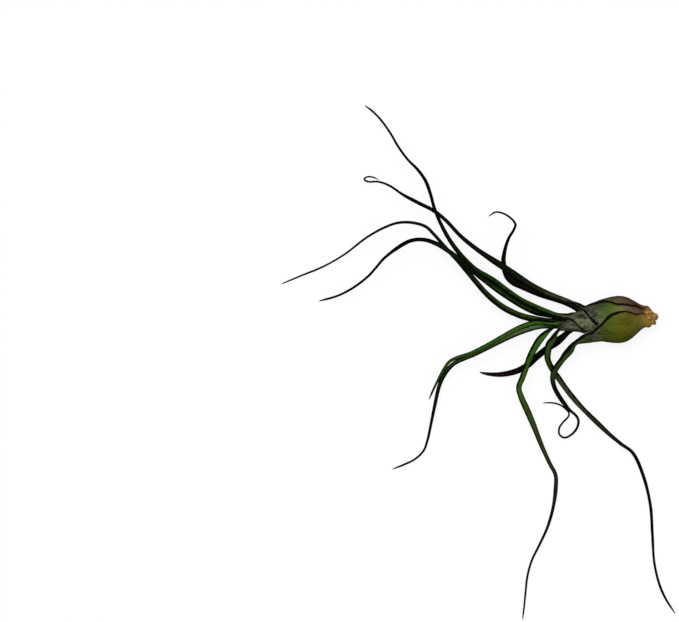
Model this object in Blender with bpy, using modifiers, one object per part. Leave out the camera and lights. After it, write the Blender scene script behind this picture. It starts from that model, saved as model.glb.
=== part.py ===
"""A bulbosa air plant lying on its side: eleven channelled leaves whose sheaths nest into a bulb round a short stem.

The plant lies along X with its roots at +X and its leaves towards -X. +Y is one side of the plant and +Z is up.
All the sizes here are millimetres, and the meshes are made in metres.
"""

import math

import bmesh
import bpy
from mathutils import Matrix, Vector

MM = 0.001

# The growing axis runs from the stem's base to the end of the neck, and rises a little over the lowest leaves.
AXIS_BASE = Vector((0.0, 0.0, 10.6))
AXIS_ALONG = Vector((-44.0, -3.0, 3.0)).normalized()
PLANT_CENTRE = Vector((-83.18, -22.74, 0.0))

# How far the bulb's middle lies off the growing axis, towards +Y, at each distance along it.
SIDE_SHIFT = ((-1.0, -0.15), (0.0, -0.15), (6.0, -0.5), (12.0, -0.8), (20.0, -0.8), (28.0, -0.4), (36.0, 0.0))

# Radius of the outermost sheath at each distance along the axis. In the neck it is where that sheath would be.
BULB_OUTLINE = (
    (-1.0, 5.6), (0.0, 5.95), (1.2, 6.4), (3.0, 7.55), (4.2, 8.5), (6.0, 9.75), (7.2, 10.6), (9.0, 11.5),
    (10.5, 12.0), (13.0, 12.3), (16.0, 12.1), (18.0, 11.75), (23.0, 10.7), (26.0, 10.0), (28.5, 9.4),
    (32.0, 8.4), (35.0, 7.9), (50.0, 7.9),
)
LAYER_PITCH = 0.9
FLAT_PITCH = 1.05
SHEATH_THICKNESS = 0.6
RING_STEP = 3.0
LARGEST_SPREAD_STEP = 12.0
SHEATH_TURN_PER_SIDE = 17.0

# Blades. A blade is a channel whose edges roll further in towards its tip.
BLADE_THICKNESS = 0.75
BLADE_TIP_WIDTH = 0.7
BLADE_ROLL_AT_NECK = 105.0
BLADE_ROLL_AT_TIP = 140.0
ROLL_UP_LENGTH = 13.0
TURN_LENGTH = 20.0
LONGEST_STEP = 5.5
SHARPEST_STEP = 16.0
BLADE_SIDES = 4
CHANNEL_SIDES = 2
FLAT_FLOOR = 0.0

# Stem and roots.
STEM_PROFILE = (
    (10.5, 0.0), (10.0, 0.9), (8.6, 1.7), (6.5, 2.4), (3.0, 2.6), (-0.3, 2.6), (-0.35, 5.2), (-1.5, 5.35),
    (-2.8, 4.7), (-3.8, 3.0), (-4.4, 1.2), (-4.5, 0.0),
)
STEM_SIDES = 20
ROOT_STUBS = (
    # Each stub is its radius and then three points: distance behind the base, and place up and to the side.
    (1.4, (2.6, 1.0, 0.3), (4.6, 1.2, 0.1), (6.0, 1.7, -0.4)),
    (1.5, (1.6, -2.6, 0.8), (3.2, -3.0, 0.7), (4.1, -3.9, 0.9)),
    (1.2, (2.0, 2.0, -1.8), (3.3, 2.5, -2.4), (4.2, 2.4, -3.1)),
    (1.0, (2.4, -0.8, -2.2), (4.0, -1.0, -2.9), (4.8, -1.8, -3.3)),
    (1.0, (2.0, 1.9, 2.0), (3.2, 2.6, 2.7), (3.9, 3.4, 2.9)),
)

GREEN = (0.075, 0.16, 0.03)
DARK_GREEN = (0.035, 0.06, 0.022)
OLIVE = (0.16, 0.17, 0.05)
BRONZE = (0.16, 0.1, 0.055)
GOLD = (0.5, 0.27, 0.05)

# One entry for each leaf, from the outermost sheath to the heart.
# layer: how many sheaths lie outside it. facing: where the leaf's back points, in degrees from up towards +Y.
# spread: half of the angle that the sheath wraps, at distances along the axis, from its foot to where it leaves.
# flare: how far the sheath stands off the bulb before it leaves. turn: degrees the blade twists after it leaves.
# width: the blade's width where it leaves and at its tip. route: the blade's middle line.
LEAVES = (
    dict(
        name="leaf_01", layer=0, facing=140.0, colour=BRONZE, width=(3.0, BLADE_TIP_WIDTH),
        spread=((0.0, 88), (4.0, 90), (7.0, 99), (13.0, 99), (18.0, 82), (21.0, 60), (24.0, 44), (27.0, 30), (29.0, 22)),
        route=(
            (-35.0, 6.2, 6.4), (-41.0, 8.0, 8.0), (-46.5, 9.7, 10.5), (-52.0, 11.5, 13.0),
            (-57.5, 13.7, 15.0), (-62.0, 15.7, 16.4), (-66.2, 17.9, 17.4), (-69.2, 21.2, 18.4),
            (-70.8, 27.0, 20.0), (-70.2, 33.2, 22.5), (-68.3, 39.3, 25.5), (-65.8, 43.5, 28.0),
            (-65.0, 46.2, 29.5), (-67.0, 49.0, 31.0), (-71.0, 51.6, 32.0), (-75.0, 52.3, 32.0),
            (-78.4, 50.2, 30.5),
        ),
    ),
    dict(
        name="leaf_02", layer=1, facing=-85.0, colour=OLIVE, width=(4.0, BLADE_TIP_WIDTH),
        spread=((0.0, 100), (4.0, 103), (10.0, 109), (15.0, 102), (20.0, 82), (25.0, 58), (29.0, 56), (32.0, 45), (34.5, 26)),
        flare=((22.0, 0.0), (25.0, 0.9), (29.0, 2.4), (32.0, 3.5), (34.5, 4.3)), turn=50.0,
        route=(
            (-37.3, -17.1, 12.8), (-39.4, -19.3, 12.8), (-41.8, -22.3, 12.4), (-44.0, -25.4, 11.6),
            (-45.5, -28.2, 10.8), (-46.0, -31.6, 9.9), (-44.9, -35.8, 8.8), (-42.9, -39.5, 7.9),
            (-40.7, -42.7, 7.2), (-37.8, -46.3, 6.3), (-34.3, -49.4, 5.4), (-33.1, -51.8, 4.8),
            (-33.7, -55.4, 4.0), (-36.5, -58.9, 3.1), (-40.2, -60.5, 2.3), (-42.6, -58.8, 1.8),
            (-42.6, -55.6, 1.4), (-40.6, -52.6, 1.1), (-38.3, -50.3, 0.9), (-37.7, -48.3, 0.8),
            (-39.6, -45.9, 0.7), (-42.6, -43.9, 0.6), (-46.8, -43.0, 0.5), (-51.0, -43.2, 0.4),
        ),
    ),
    dict(
        name="leaf_03", layer=2, facing=80.0, colour=DARK_GREEN, width=(3.6, BLADE_TIP_WIDTH),
        spread=((0.7, 95), (20.0, 105), (24.5, 91), (27.5, 63), (29.5, 42), (31.0, 30)),
        route=(
            (-35.4, 6.7, 14.9), (-40.7, 8.5, 16.5), (-46.4, 10.7, 18.5), (-52.4, 13.4, 20.5),
            (-59.5, 17.4, 23.0), (-71.0, 25.1, 26.5), (-84.0, 33.7, 28.5), (-92.3, 40.4, 28.5),
            (-99.8, 48.3, 27.3), (-106.0, 53.2, 25.0), (-113.0, 56.8, 22.0), (-120.8, 61.0, 18.0),
            (-128.0, 65.8, 13.5), (-133.5, 67.7, 11.5), (-138.3, 67.7, 11.0), (-140.4, 68.8, 11.5),
            (-139.0, 70.1, 12.6), (-136.0, 69.9, 13.6), (-133.2, 68.6, 14.4),
        ),
    ),
    dict(
        name="leaf_04", layer=3, facing=-130.0, colour=BRONZE, width=(4.0, 1.5),
        spread=((2.2, 78), (28.0, 76), (32.0, 56), (34.5, 38), (36.0, 28)),
        route=(
            (-40.7, -10.4, 7.9), (-44.5, -13.2, 6.8), (-49.2, -16.4, 5.6), (-54.2, -20.5, 4.3),
            (-58.3, -24.2, 3.5), (-62.5, -26.6, 3.0), (-68.0, -28.3, 2.5), (-73.8, -28.9, 2.2),
            (-79.2, -28.4, 2.4), (-82.5, -27.7, 2.8),
        ),
    ),
    dict(
        name="leaf_05", layer=3, facing=35.0, colour=GREEN, width=(4.0, BLADE_TIP_WIDTH),
        spread=((2.2, 78), (31.0, 78), (33.0, 66), (35.0, 50), (37.0, 36), (39.0, 28)),
        route=(
            (-43.5, 0.8, 19.3), (-49.2, 2.6, 21.8), (-55.0, 5.1, 24.3), (-61.8, 8.4, 27.2),
            (-68.5, 12.8, 29.5), (-75.4, 18.0, 31.8), (-84.4, 23.4, 33.3), (-91.0, 29.6, 33.8),
            (-94.8, 34.2, 33.6), (-98.0, 38.8, 33.0), (-102.3, 46.7, 31.5), (-105.3, 54.0, 30.0),
            (-107.4, 61.5, 28.0), (-109.8, 68.0, 26.0), (-113.8, 73.7, 23.5), (-118.8, 78.8, 21.0),
            (-123.6, 85.5, 17.0), (-127.2, 91.8, 13.0), (-132.3, 99.0, 8.0), (-136.5, 103.3, 3.8),
            (-140.0, 106.0, 0.3),
        ),
    ),
    dict(
        name="leaf_06", layer=4, facing=-60.0, colour=DARK_GREEN, width=(3.9, BLADE_TIP_WIDTH),
        spread=((3.7, 100), (36.0, 84), (39.0, 66), (41.5, 42), (43.0, 30)), turn=45.0,
        route=(
            (-45.6, -11.2, 15.6), (-47.9, -14.2, 14.4), (-48.6, -17.6, 12.6), (-48.6, -21.2, 10.4),
            (-47.6, -23.9, 8.7), (-45.5, -27.6, 6.7), (-43.4, -30.4, 5.9), (-39.8, -35.4, 5.2),
            (-35.2, -41.2, 5.2), (-29.9, -47.0, 5.8), (-22.9, -53.8, 6.6), (-18.0, -58.4, 6.6),
            (-12.0, -63.4, 6.0), (-6.0, -67.9, 5.0), (-0.8, -78.8, 2.8), (3.0, -94.0, 1.2),
            (4.1, -109.5, 0.9), (5.0, -123.0, 1.3), (7.4, -133.5, 1.4), (10.4, -140.6, 0.9),
            (15.5, -148.7, 0.4),
        ),
    ),
    dict(
        name="leaf_07", layer=5, facing=75.0, colour=GREEN, width=(3.6, BLADE_TIP_WIDTH),
        spread=((4.8, 61), (39.0, 59), (42.0, 44), (44.0, 33)),
        route=(
            (-49.5, 1.2, 15.4), (-55.0, 2.8, 17.6), (-61.8, 6.1, 20.5), (-68.5, 10.2, 23.2),
            (-75.4, 14.9, 25.3), (-82.6, 20.4, 27.2), (-89.0, 25.6, 27.9), (-93.5, 29.3, 28.0),
            (-98.4, 33.0, 27.8), (-104.3, 36.6, 26.9), (-110.5, 38.6, 25.5), (-116.6, 38.3, 23.5),
            (-121.8, 35.9, 21.2), (-130.3, 29.5, 17.0), (-134.1, 25.2, 14.8), (-137.9, 20.9, 12.5),
            (-142.7, 16.9, 10.0), (-148.0, 13.4, 7.5), (-154.0, 10.5, 5.3), (-163.0, 8.0, 2.5),
        ),
    ),
    dict(
        name="leaf_08", layer=6, facing=-82.0, colour=GREEN, width=(4.0, BLADE_TIP_WIDTH),
        spread=((6.0, 69), (40.0, 66), (43.0, 54), (45.0, 44)), turn=65.0,
        route=(
            (-49.5, -8.6, 15.2), (-52.6, -11.6, 15.9), (-55.4, -16.0, 16.1), (-57.6, -20.5, 15.6),
            (-59.4, -25.5, 14.6), (-61.2, -30.4, 13.3), (-63.0, -35.4, 12.0), (-61.9, -39.8, 10.8),
            (-58.9, -46.5, 9.3), (-56.0, -53.2, 7.8), (-51.4, -64.7, 5.0), (-47.5, -73.2, 3.2),
            (-44.5, -79.2, 2.1), (-44.4, -86.0, 1.4), (-45.6, -95.0, 1.0), (-48.4, -105.0, 1.4),
            (-52.6, -114.2, 2.2), (-56.4, -122.0, 2.2), (-58.6, -130.0, 1.4), (-59.5, -138.0, 0.8),
            (-60.3, -146.0, 0.6), (-61.0, -151.7, 0.4),
        ),
    ),
    dict(
        name="leaf_09", layer=5, facing=-154.0, colour=GREEN, width=(3.2, BLADE_TIP_WIDTH),
        spread=((4.8, 61), (40.0, 59), (43.0, 46), (45.0, 36)),
        route=(
            (-50.0, -4.6, 9.6), (-55.0, -5.2, 10.4), (-61.0, -7.0, 12.0), (-68.7, -10.3, 13.6),
            (-78.3, -15.2, 14.2), (-84.7, -18.4, 13.7), (-90.0, -20.7, 13.0), (-95.3, -23.2, 12.0),
            (-99.3, -27.3, 10.6), (-102.5, -33.6, 8.5), (-105.1, -44.5, 5.2), (-107.0, -54.0, 2.8),
            (-108.6, -61.5, 1.4), (-110.6, -67.0, 0.9), (-115.0, -71.3, 0.7), (-120.5, -74.0, 0.6),
            (-126.3, -76.3, 0.3),
        ),
    ),
    dict(
        name="leaf_10", layer=6, facing=134.0, colour=DARK_GREEN, width=(3.4, BLADE_TIP_WIDTH),
        spread=((6.0, 65), (40.0, 62), (43.0, 54), (45.0, 44)),
        route=(
            (-50.0, -0.9, 11.3), (-56.5, -0.5, 11.2), (-61.8, 0.8, 11.9), (-66.4, 2.7, 13.0),
            (-70.9, 5.1, 14.4), (-75.4, 8.4, 16.0), (-79.9, 12.5, 17.6), (-84.4, 17.6, 19.0),
            (-89.0, 22.9, 20.2), (-93.5, 28.0, 20.9), (-98.4, 33.2, 21.1), (-105.7, 41.5, 20.3),
            (-109.7, 45.2, 19.5), (-116.5, 47.2, 18.2), (-123.5, 47.1, 16.2), (-130.0, 44.9, 14.0),
            (-139.0, 39.9, 10.5), (-150.5, 31.2, 6.0), (-161.3, 25.1, 2.4), (-172.5, 20.5, 0.8),
            (-182.0, 16.5, 0.3),
        ),
    ),
    dict(
        name="leaf_11", layer=7, facing=-10.0, colour=GREEN, width=(3.2, BLADE_TIP_WIDTH),
        spread=((7.4, 84), (42.0, 78), (46.0, 58)),
        route=(
            (-51.0, -2.9, 17.0), (-56.0, -3.0, 18.6), (-62.3, -5.0, 19.6), (-71.9, -10.0, 20.0),
            (-80.0, -14.6, 19.8), (-87.9, -18.3, 19.0), (-93.5, -20.1, 18.2), (-97.8, -22.3, 17.3),
            (-101.0, -26.8, 16.0), (-105.1, -34.8, 13.8), (-108.0, -41.2, 12.0),
        ),
    ),
)


def between(table, at):
    """The value that a table of (place, value) pairs gives at a place, on straight lines between its pairs."""
    if at <= table[0][0]:
        return table[0][1]
    for (low, low_value), (high, high_value) in zip(table, table[1:]):
        if at <= high:
            return low_value + (high_value - low_value) * (at - low) / (high - low)
    return table[-1][1]


def ease(share):
    """Goes smoothly from 0 to 1 as share does."""
    share = min(1.0, max(0.0, share))
    return share * share * (3.0 - 2.0 * share)


def axis_point(along):
    return AXIS_BASE + AXIS_ALONG * along + Vector((0.0, between(SIDE_SHIFT, along), 0.0))


def facing_direction(degrees):
    """The direction square to the growing axis at this angle from up, towards +Y."""
    up = Vector((0, 0, 1))
    up = (up - AXIS_ALONG * up.dot(AXIS_ALONG)).normalized()
    side = AXIS_ALONG.cross(up)
    if side.y < 0:
        side = -side
    turn = math.radians(degrees)
    return up * math.cos(turn) + side * math.sin(turn)


def smooth_line(knots, step):
    """Points about a step apart on a smooth curve through the knots."""
    ends = [2 * knots[0] - knots[1], *knots, 2 * knots[-1] - knots[-2]]
    line = []
    for before, start, end, after in zip(ends, ends[1:], ends[2:], ends[3:]):
        pieces = max(2, math.ceil((end - start).length / step))
        gap_before, gap, gap_after = ((b - a).length ** 0.5 for a, b in ((before, start), (start, end), (end, after)))
        slope_start = (start - before) / gap_before - (end - before) / (gap_before + gap) + (end - start) / gap
        slope_end = (end - start) / gap - (after - start) / (gap + gap_after) + (after - end) / gap_after
        slope_start, slope_end = slope_start * gap, slope_end * gap
        for i in range(pieces):
            t = i / pieces
            line.append(
                start * (2 * t**3 - 3 * t**2 + 1)
                + slope_start * (t**3 - 2 * t**2 + t)
                + end * (3 * t**2 - 2 * t**3)
                + slope_end * (t**3 - t**2)
            )
    return line + [knots[-1]]


def thinned(line):
    """Keeps the points of a fine line where it has turned or run far enough since the last one kept."""
    kept = [0]
    for i in range(1, len(line) - 1):
        run = (line[i] - line[kept[-1]]).length
        now = line[i + 1] - line[i]
        then = line[kept[-1] + 1] - line[kept[-1]]
        if run > LONGEST_STEP or (run > 0.5 and math.degrees(now.angle(then)) > SHARPEST_STEP):
            kept.append(i)
    return [line[i] for i in kept] + [line[-1]]


def arc(centre, back, side, radius, half_angle, sides):
    """Points on an arc that is centred on the back's direction, from one edge to the other."""
    turns = [math.radians(half_angle) * (2 * i / sides - 1) for i in range(sides + 1)]
    return [centre + (back * math.cos(turn) + side * math.sin(turn)) * radius for turn in turns]


def raised(points, floor):
    return [Vector((p.x, p.y, max(p.z, floor))) for p in points]


def sheath_sections(leaf):
    """The sheath's sections, square to the growing axis: an outer arc and an inner one for each.

    It also gives the radius, the half angle and the flare where the sheath leaves the bulb.
    """
    foot, end = leaf["spread"][0][0], leaf["spread"][-1][0]
    count = int(end / RING_STEP) + 1
    stations = [foot] + [i * RING_STEP for i in range(count) if foot + 0.7 < i * RING_STEP < end - 0.7] + [end]
    middles = [(a + b) / 2 for a, b in zip(stations, stations[1:])
               if abs(between(leaf["spread"], a) - between(leaf["spread"], b)) > LARGEST_SPREAD_STEP]
    widest = max(angle for _, angle in leaf["spread"])
    sides = 2 * math.ceil(widest / SHEATH_TURN_PER_SIDE)
    back = facing_direction(leaf["facing"])
    side = AXIS_ALONG.cross(back)
    floor = leaf["layer"] * FLAT_PITCH
    sections = []
    for along in sorted(stations + middles):
        flare = between(leaf.get("flare", ((0.0, 0.0),)), along)
        radius = between(BULB_OUTLINE, along) - leaf["layer"] * LAYER_PITCH
        half = between(leaf["spread"], along)
        centre = axis_point(along) + back * flare
        outer = arc(centre, back, side, radius, half, sides)
        inner = arc(centre, back, side, radius - SHEATH_THICKNESS, half, sides)
        sections.append((raised(outer, floor), raised(inner, floor + SHEATH_THICKNESS)))
    return sections, radius, half, flare


def blade_sections(leaf, radius, half, flare):
    """The blade's sections, square to its own middle line, from where the sheath ends to the tip."""
    end = leaf["spread"][-1][0]
    back = facing_direction(leaf["facing"])
    middle_offset = back * (flare + radius * (1 + math.cos(math.radians(half))) / 2)
    start = axis_point(end) + middle_offset
    lead_in = axis_point(end - RING_STEP) + middle_offset
    line = smooth_line([lead_in, start] + [Vector(point) for point in leaf["route"]], 0.8)
    line = line[next(i for i, point in enumerate(line) if (point - start).length < 1e-6):]
    line = thinned(line)
    runs = [0.0]
    for a, b in zip(line, line[1:]):
        runs.append(runs[-1] + (b - a).length)
    sheath_width = 2 * radius * math.sin(math.radians(half))
    neck_width, tip_width = leaf["width"]
    sections = []
    for i in range(1, len(line)):
        here, run = line[i], runs[i]
        ahead = line[min(i + 1, len(line) - 1)]
        rolled, share = ease(run / ROLL_UP_LENGTH), run / runs[-1]
        tangent = ((ahead - here).normalized() + (here - line[i - 1]).normalized()).normalized()
        tangent = AXIS_ALONG.lerp(tangent, ease(run / 8.0)).normalized()
        back = (back - tangent * back.dot(tangent)).normalized()
        turned = ease(run / TURN_LENGTH) - ease(runs[i - 1] / TURN_LENGTH)
        back = Matrix.Rotation(math.radians(leaf.get("turn", 0.0)) * turned, 3, tangent) @ back
        side = tangent.cross(back)
        width = tip_width + (neck_width - tip_width) * (1 - share) ** 0.9
        width = sheath_width + (width - sheath_width) * rolled
        roll = BLADE_ROLL_AT_NECK + (BLADE_ROLL_AT_TIP - BLADE_ROLL_AT_NECK) * share
        roll = half + (roll - half) * rolled
        curve_radius = width / 2 / math.sin(math.radians(min(roll, 90.0)))
        wall = min(SHEATH_THICKNESS + (BLADE_THICKNESS - SHEATH_THICKNESS) * rolled, 0.75 * curve_radius)
        centre = here - back * curve_radius * (1 + math.cos(math.radians(roll))) / 2
        outer = arc(centre, back, side, curve_radius, roll, BLADE_SIDES)
        inner = arc(centre, back, side, curve_radius - wall, roll, CHANNEL_SIDES)
        sections.append((raised(outer, FLAT_FLOOR), raised(inner, FLAT_FLOOR + 0.3)))
    return sections


def join_rows(mesh, row, next_row):
    """Fills the strip between two rows of vertices, which may hold different numbers of them."""
    i = j = 0
    last, next_last = len(row) - 1, len(next_row) - 1
    while i < last or j < next_last:
        if last == next_last:
            mesh.faces.new((row[i], row[i + 1], next_row[j + 1], next_row[j]))
            i, j = i + 1, j + 1
        elif j == next_last or (i < last and (i + 0.5) / last <= (j + 0.5) / next_last):
            mesh.faces.new((row[i], row[i + 1], next_row[j]))
            i += 1
        else:
            mesh.faces.new((row[i], next_row[j + 1], next_row[j]))
            j += 1


def lofted(name, sections):
    """A closed mesh through the sections, each an outer and an inner row of points."""
    mesh = bmesh.new()
    rows = [[[mesh.verts.new(p * MM) for p in points] for points in section] for section in sections]
    for (outer, inner), (next_outer, next_inner) in zip(rows, rows[1:]):
        join_rows(mesh, outer, next_outer)
        join_rows(mesh, inner[::-1], next_inner[::-1])
        join_rows(mesh, [outer[-1], inner[-1]], [next_outer[-1], next_inner[-1]])
        join_rows(mesh, [inner[0], outer[0]], [next_inner[0], next_outer[0]])
    for outer, inner in (rows[0], rows[-1]):
        join_rows(mesh, outer, inner)
    bmesh.ops.recalc_face_normals(mesh, faces=mesh.faces)
    data = bpy.data.meshes.new(name)
    mesh.to_mesh(data)
    mesh.free()
    return bpy.data.objects.new(name, data)


def finish(obj, colour, roughness):
    """Gives an object its material, smooth shading with sharp edges, and its place in the plant."""
    material = bpy.data.materials.new(obj.name)
    material.use_nodes = True
    shader = material.node_tree.nodes["Principled BSDF"]
    shader.inputs["Base Color"].default_value = (*colour, 1.0)
    shader.inputs["Roughness"].default_value = roughness
    shader.inputs["Metallic"].default_value = 0.0
    obj.data.materials.clear()
    obj.data.materials.append(material)
    obj.data.shade_smooth()
    obj.data.set_sharp_from_angle(angle=math.radians(50))


def make_leaf(leaf):
    sheath, *leaving = sheath_sections(leaf)
    return lofted(leaf["name"], sheath + blade_sections(leaf, *leaving))


def turned_stem():
    """The short stem that every sheath is rooted on, with the flange that shows behind the bulb."""
    data = bpy.data.meshes.new("stem")
    profile = [Vector((radius, 0.0, along)) * MM for along, radius in STEM_PROFILE]
    data.from_pydata(profile, [(i, i + 1) for i in range(len(profile) - 1)], [])
    stem = bpy.data.objects.new("stem", data)
    bpy.context.collection.objects.link(stem)
    turn = stem.modifiers.new("turn", "SCREW")
    turn.steps = turn.render_steps = STEM_SIDES
    turn.use_merge_vertices = True
    turn.merge_threshold = 0.00005
    return stem


def root_stub(number, radius, points):
    """A broken root as a short bent tube with rounded ends, square to nothing in particular."""
    curve = bpy.data.curves.new(f"root_{number}", "CURVE")
    curve.dimensions = "3D"
    curve.bevel_depth = radius * MM
    curve.bevel_resolution = 1
    curve.use_fill_caps = True
    line = smooth_line([Vector((y, z, -back)) for back, y, z in points], 0.8)
    line.append(line[-1] + (line[-1] - line[-2]).normalized() * radius * 0.45)
    spline = curve.splines.new("POLY")
    spline.points.add(len(line) - 1)
    for point, place in zip(spline.points, line):
        point.co = (*(place * MM), 1.0)
        point.radius = 1.0
    spline.points[-1].radius = 0.55
    return bpy.data.objects.new(f"root_{number}", curve)


def meshed(obj):
    """A closed mesh object that stands for a curve or for an object with modifiers, which is removed."""
    data = bpy.data.meshes.new_from_object(obj.evaluated_get(bpy.context.evaluated_depsgraph_get()))
    welded = bmesh.new()
    welded.from_mesh(data)
    bmesh.ops.remove_doubles(welded, verts=welded.verts, dist=0.00002)
    bmesh.ops.recalc_face_normals(welded, faces=welded.faces)
    welded.to_mesh(data)
    welded.free()
    name, place = obj.name, obj.matrix_world.copy()
    bpy.data.objects.remove(obj)
    made = bpy.data.objects.new(name, data)
    made.matrix_world = place
    return made


def make_stem(collection):
    """The stem with its broken roots joined into one solid, turned to lie along the growing axis."""
    stubs = bpy.data.collections.new("root stubs")
    bpy.context.scene.collection.children.link(stubs)
    curves = [root_stub(i, radius, points) for i, (radius, *points) in enumerate(ROOT_STUBS)]
    for curve in curves:
        stubs.objects.link(curve)
    stem = turned_stem()
    bpy.context.view_layer.update()
    for curve in curves:
        stubs.objects.link(meshed(curve))
    stem = meshed(stem)
    collection.objects.link(stem)
    join = stem.modifiers.new("join", "BOOLEAN")
    join.operation = "UNION"
    join.operand_type = "COLLECTION"
    join.collection = stubs
    bpy.context.view_layer.update()
    joined = meshed(stem)
    for stub in list(stubs.objects):
        bpy.data.objects.remove(stub)
    bpy.data.collections.remove(stubs)
    turn = AXIS_ALONG.to_track_quat("Z", "X").to_matrix().to_4x4()
    joined.data.transform(turn)
    joined.data.transform(turn.Translation(AXIS_BASE * MM))
    return joined


def main():
    for obj in list(bpy.data.objects):
        bpy.data.objects.remove(obj)
    plant = bpy.data.collections.new("bulbosa air plant")
    bpy.context.scene.collection.children.link(plant)
    root = bpy.data.objects.new("plant", None)
    root.location = -PLANT_CENTRE * MM
    plant.objects.link(root)
    stem = make_stem(plant)
    finish(stem, GOLD, 0.6)
    pieces = [stem]
    for leaf in LEAVES:
        piece = make_leaf(leaf)
        finish(piece, leaf["colour"], 0.45)
        pieces.append(piece)
    for piece in pieces:
        plant.objects.link(piece)
        piece.parent = root


main()
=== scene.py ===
import math

import bmesh
import bpy
from mathutils import Matrix, Vector, noise


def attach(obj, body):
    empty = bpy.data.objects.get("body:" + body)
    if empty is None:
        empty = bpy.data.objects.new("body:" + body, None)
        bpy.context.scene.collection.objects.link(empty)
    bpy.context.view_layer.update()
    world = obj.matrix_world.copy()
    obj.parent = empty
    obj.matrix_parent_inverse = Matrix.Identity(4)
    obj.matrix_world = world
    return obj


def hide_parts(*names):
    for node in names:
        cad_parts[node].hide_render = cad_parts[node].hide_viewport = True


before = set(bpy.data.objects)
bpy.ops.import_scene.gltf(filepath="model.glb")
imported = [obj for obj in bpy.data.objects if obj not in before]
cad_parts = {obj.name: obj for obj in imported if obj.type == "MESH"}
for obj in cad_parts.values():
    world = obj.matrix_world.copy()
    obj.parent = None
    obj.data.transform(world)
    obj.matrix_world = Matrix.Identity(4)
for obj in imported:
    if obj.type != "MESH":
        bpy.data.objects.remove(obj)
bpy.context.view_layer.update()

mm = 0.001

# The bulb that all the sheaths nest in. Sizes are in mm, and the plant lies along X with its roots at +X.
# A place along the bulb is a distance along its axis from its base.
bulb = {
    "axisBase": Vector((0.0, 0.0, 10.6)),
    "axisAlong": Vector((-44.0, -3.0, 3.0)).normalized(),
    "plantCentre": Vector((-83.18, -22.74, 0.0)),  # the point that stands on the frame's origin
    "sideShift": (  # how far the axis is moved along Y, at places along the bulb
        (-1.0, -0.15), (0.0, -0.15), (6.0, -0.5), (12.0, -0.8), (20.0, -0.8), (28.0, -0.4), (36.0, 0.0),
    ),
    "outline": (  # the radius of the outermost sheath
        (-3.7, 3.3), (-3.4, 4.1), (-2.8, 4.95), (-1.9, 5.5), (-0.9, 5.75), (0.0, 5.95), (1.2, 6.4),
        (3.0, 7.55), (4.2, 8.5), (6.0, 9.75), (7.2, 10.6), (9.0, 11.5), (10.5, 12.0), (13.0, 12.3),
        (16.0, 12.1), (18.0, 11.75), (23.0, 10.7), (26.0, 10.0), (28.5, 9.4), (32.0, 8.4), (35.0, 7.9),
        (50.0, 7.9),
    ),
    "layerPitch": 0.9,  # how far a sheath lies inside the one before it
    "closedPitch": 0.15,  # the share of that at the root end, where the sheaths close up
    "closingLength": 3.0,
    "flatPitch": 1.05,  # how far apart the sheaths lie on the underside, where the bulb rests flat
    "sheathWall": 0.6,
    "footWall": 0.3,  # the share of the wall at a sheath's foot
    "footLength": 2.5,
    "marginPress": 0.17,  # how far a sheath's margins press in on the sheath beneath
    "pressWidth": 2.0,
    "looseLength": 8.0,  # the last stretch of a sheath, over which its margins come free
}

blade = {
    "wall": 0.7,
    "wallLimit": 0.72,  # the wall's largest share of the radius that the blade is rolled to
    "marginWall": 0.22,  # how thin a leaf gets at its margins
    "thinningWidth": 2.6,
    "thinningLimit": 0.6,  # the largest share of the half width that it takes
    "evenColumns": 0.6,  # 1 puts a section's points evenly across, and less draws them to the margins
    "rollAtNeck": 105.0,
    "rollAtTip": 140.0,
    "rollUpLength": 13.0,
    # natural unevenness: how much, how fast it changes along the blade, and which track of the noise it takes
    "rollWaver": (14.0, 0.06, 5.0),
    "widthWaver": (0.1, 0.09, 0.0),
    "leadIn": 3.0,  # the blade's line follows the bulb's axis over this length before its start
    "swingLength": 8.0,  # over this length the sections turn from square to the bulb to square to the blade
    "lowest": (0.0, 0.1),  # the least heights of its outer and inner face
    "sheathStep": 0.6,
    "bladeStep": 0.9,
    "pointLength": 5.0,  # the last stretch, which narrows to a point
    "pointWidth": 0.3,  # the share of the width that the very tip keeps
    "pointCurve": 0.7,
    # the dark margin bands on the blades are painted shade on their rolled sides
    "darkHalfWidth": 3.0,  # the half width of blade that the widths of dark margins are given for
}


def mix(a, b, share):
    return a + (b - a) * share


def ease(share):
    share = min(1.0, max(0.0, share))
    return share * share * (3.0 - 2.0 * share)


def curveBetween(start, slopeStart, end, slopeEnd, t):
    # a cubic from start to end, which it leaves and meets with the two slopes
    return (
        start * (2 * t**3 - 3 * t**2 + 1)
        + slopeStart * (t**3 - 2 * t**2 + t)
        + end * (3 * t**2 - 2 * t**3)
        + slopeEnd * (t**3 - t**2)
    )


def smoothValue(table, at):
    # a curve through (place, value) pairs that never swings past them
    if at <= table[0][0]:
        return table[0][1]
    if at >= table[-1][0]:
        return table[-1][1]
    i = next(i for i in range(len(table) - 1) if at <= table[i + 1][0])

    def rise(a, b):
        return (table[b][1] - table[a][1]) / (table[b][0] - table[a][0])

    def slope(k):
        if k == 0 or k == len(table) - 1:
            return rise(0, 1) if k == 0 else rise(k - 1, k)
        before, after = rise(k - 1, k), rise(k, k + 1)
        return 0.0 if before * after <= 0 else 2 * before * after / (before + after)

    span = table[i + 1][0] - table[i][0]
    t = (at - table[i][0]) / span
    return curveBetween(table[i][1], slope(i) * span, table[i + 1][1], slope(i + 1) * span, t)


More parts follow.
